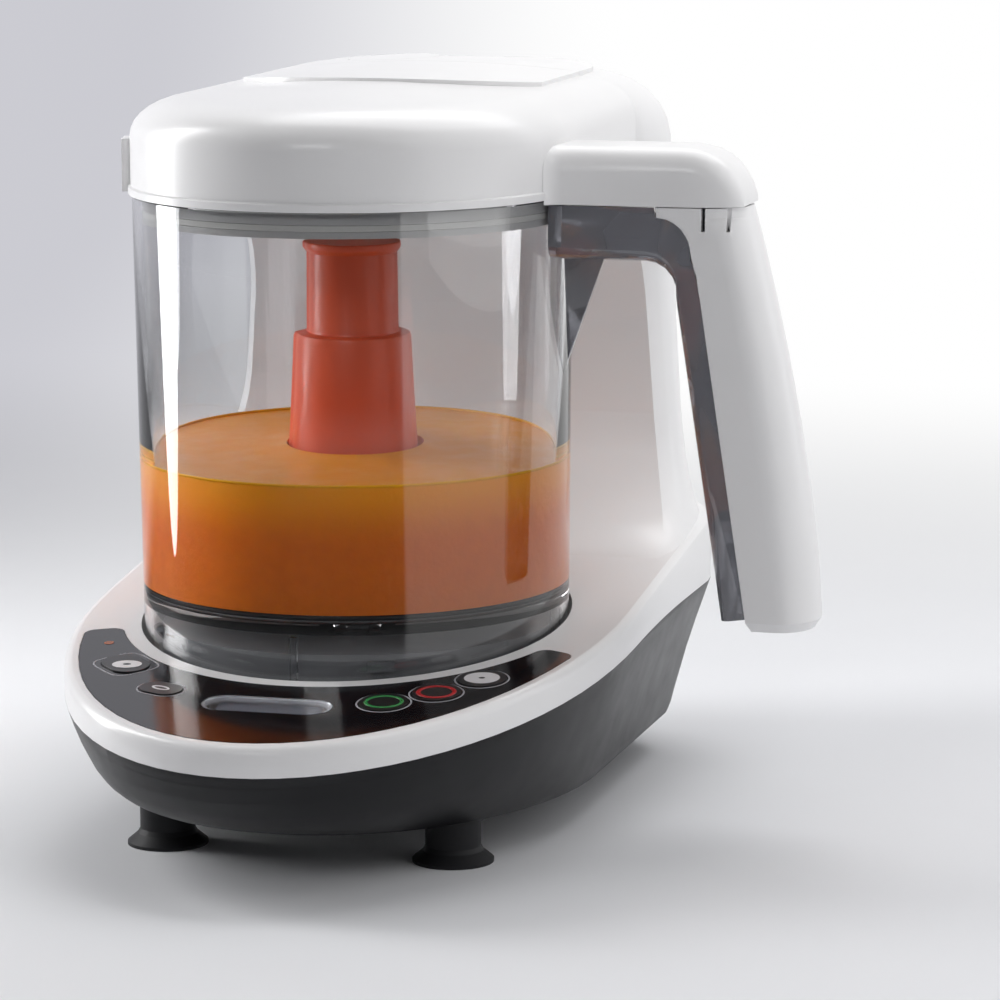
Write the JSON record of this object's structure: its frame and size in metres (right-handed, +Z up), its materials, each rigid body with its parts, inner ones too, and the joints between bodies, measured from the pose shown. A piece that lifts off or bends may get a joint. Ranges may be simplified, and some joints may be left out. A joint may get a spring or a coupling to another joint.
{
  "type": "baby food maker",
  "caption": "Countertop baby food maker: clear jug with side handle and two-tier blade on a sloped-deck base, with a rear steam tower, domed lid and front key panel.",
  "frame": {"origin": "on the bowl's axis at table level, below the middle of the bowl", "axes": "+Z up, -Y to the front (control panel), +Y to the tower at the rear, +X to the side of the bowl's handle"},
  "size_m": [0.2356, 0.272, 0.231],
  "materials": {
    "white_plastic": "smooth satin-gloss injection moulding",
    "charcoal_plastic": "satin, lightly textured",
    "grey_plastic": "satin",
    "panel_film": "glossy printed overlay",
    "window_lens": "clear lens",
    "display_glass": "liquid crystal display",
    "amber_lens": "translucent lens",
    "board": "solder mask",
    "switch_black": "moulded",
    "black_rubber": "matt",
    "zinc_steel": "zinc plated",
    "motor_steel": "plated can",
    "belt_rubber": "moulded belt",
    "bearing_steel": "ground",
    "boiler_alloy": "die cast",
    "tank_plastic": "translucent",
    "silicone": "translucent",
    "copper": "drawn tube",
    "key_black": "soft touch",
    "key_green": "soft touch with green ring",
    "key_red": "soft touch with red ring",
    "key_grey": "soft touch with white oval",
    "smoky_clear": "clear, slightly smoky, polished",
    "terracotta": "smooth satin",
    "blade_steel": "ground stainless",
    "pale_grey_plastic": "satin"
  },
  "bodies": {
    "base": {"base_tub": "charcoal_plastic", "top_shell": "white_plastic", "tower_back": "white_plastic", "drive_seat": "grey_plastic", "control_panel": "panel_film", "display_window": "window_lens", "display_module": "display_glass", "status_led": "amber_lens", "control_board": "board", "key_switches": "switch_black", "suction_feet": "black_rubber", "shell_screws": "zinc_steel", "seat_screws": "zinc_steel", "motor_can": "motor_steel", "motor_bracket": "zinc_steel", "drive_belt": "belt_rubber", "spindle_bearings": "bearing_steel", "spindle_seal": "black_rubber", "boiler": "boiler_alloy", "water_tank": "tank_plastic", "water_tube": "silicone", "steam_tube": "copper", "steam_nozzle": "grey_plastic", "lid_switch": "switch_black", "cord_grommet": "black_rubber"},
    "key_steam": {"key_steam": "key_black"},
    "key_blend": {"key_blend": "key_grey"},
    "key_start": {"key_start": "key_green"},
    "key_stop": {"key_stop": "key_red"},
    "key_mode": {"key_mode": "key_grey"},
    "lid_plunger": {"lid_plunger": "grey_plastic"},
    "tank_cap": {"tank_cap": "white_plastic", "tank_cap_seal": "silicone"},
    "motor": {"motor_rotor": "motor_steel", "motor_fan": "charcoal_plastic", "pinion_pulley": "zinc_steel"},
    "drive": {"spindle": "bearing_steel", "spindle_pulley": "charcoal_plastic"},
    "bowl": {"bowl": "smoky_clear", "handle_grip": "white_plastic", "grip_screws": "zinc_steel"},
    "blades": {"blade_hub": "terracotta", "hub_insert": "bearing_steel", "lower_blade": "blade_steel", "upper_blade": "blade_steel", "blade_retainer": "charcoal_plastic"},
    "lid": {"lid_shell": "white_plastic", "lid_liner": "pale_grey_plastic", "lid_gasket": "silicone", "steam_duct": "grey_plastic"}
  },
  "joints": [
    {"name": "drive_spin", "type": "hinge", "parent": "base", "child": "drive", "pos_m": [0, 0, 0.05], "axis": [0, 0, 1], "continuous": true},
    {"name": "motor_spin", "type": "hinge", "parent": "base", "child": "motor", "pos_m": [-0.036, 0.112, 0.06], "axis": [0, 0, 1], "continuous": true},
    {"name": "bowl_lift", "type": "slide", "parent": "base", "child": "bowl", "axis": [0, 0, 1], "range_m": [0, 0.125]},
    {"name": "blade_spin", "type": "hinge", "parent": "bowl", "child": "blades", "pos_m": [0, 0, 0.12], "axis": [0, 0, 1], "continuous": true},
    {"name": "lid_lift", "type": "slide", "parent": "bowl", "child": "lid", "axis": [0, 0, 1], "range_m": [0, 0.04]},
    {"name": "tank_cap_lift", "type": "slide", "parent": "base", "child": "tank_cap", "axis": [0, 0, 1], "range_m": [0, 0.025]},
    {"name": "lid_plunger_press", "type": "slide", "parent": "base", "child": "lid_plunger", "axis": [0, 1, 0], "range_m": [0, 0.002], "stiffness_N_per_m": 300, "springref_m": -0.002},
    {"name": "mode_press", "type": "slide", "parent": "base", "child": "key_mode", "axis": [0, 0.1271, -0.9919], "range_m": [0, 0.0005], "stiffness_N_per_m": 800, "springref_m": -0.001},
    {"name": "steam_press", "type": "slide", "parent": "base", "child": "key_steam", "axis": [0, 0.1271, -0.9919], "range_m": [0, 0.0005], "stiffness_N_per_m": 800, "springref_m": -0.001},
    {"name": "start_press", "type": "slide", "parent": "base", "child": "key_start", "axis": [0, 0.1271, -0.9919], "range_m": [0, 0.0005], "stiffness_N_per_m": 800, "springref_m": -0.001},
    {"name": "stop_press", "type": "slide", "parent": "base", "child": "key_stop", "axis": [0, 0.1271, -0.9919], "range_m": [0, 0.0005], "stiffness_N_per_m": 800, "springref_m": -0.001},
    {"name": "blend_press", "type": "slide", "parent": "base", "child": "key_blend", "axis": [0, 0.1271, -0.9919], "range_m": [0, 0.0005], "stiffness_N_per_m": 800, "springref_m": -0.001}
  ],
  "couplings": [
    {"joint": "motor_spin", "follows": "drive_spin", "ratio": 3},
    {"joint": "blade_spin", "follows": "drive_spin", "ratio": 1}
  ]
}
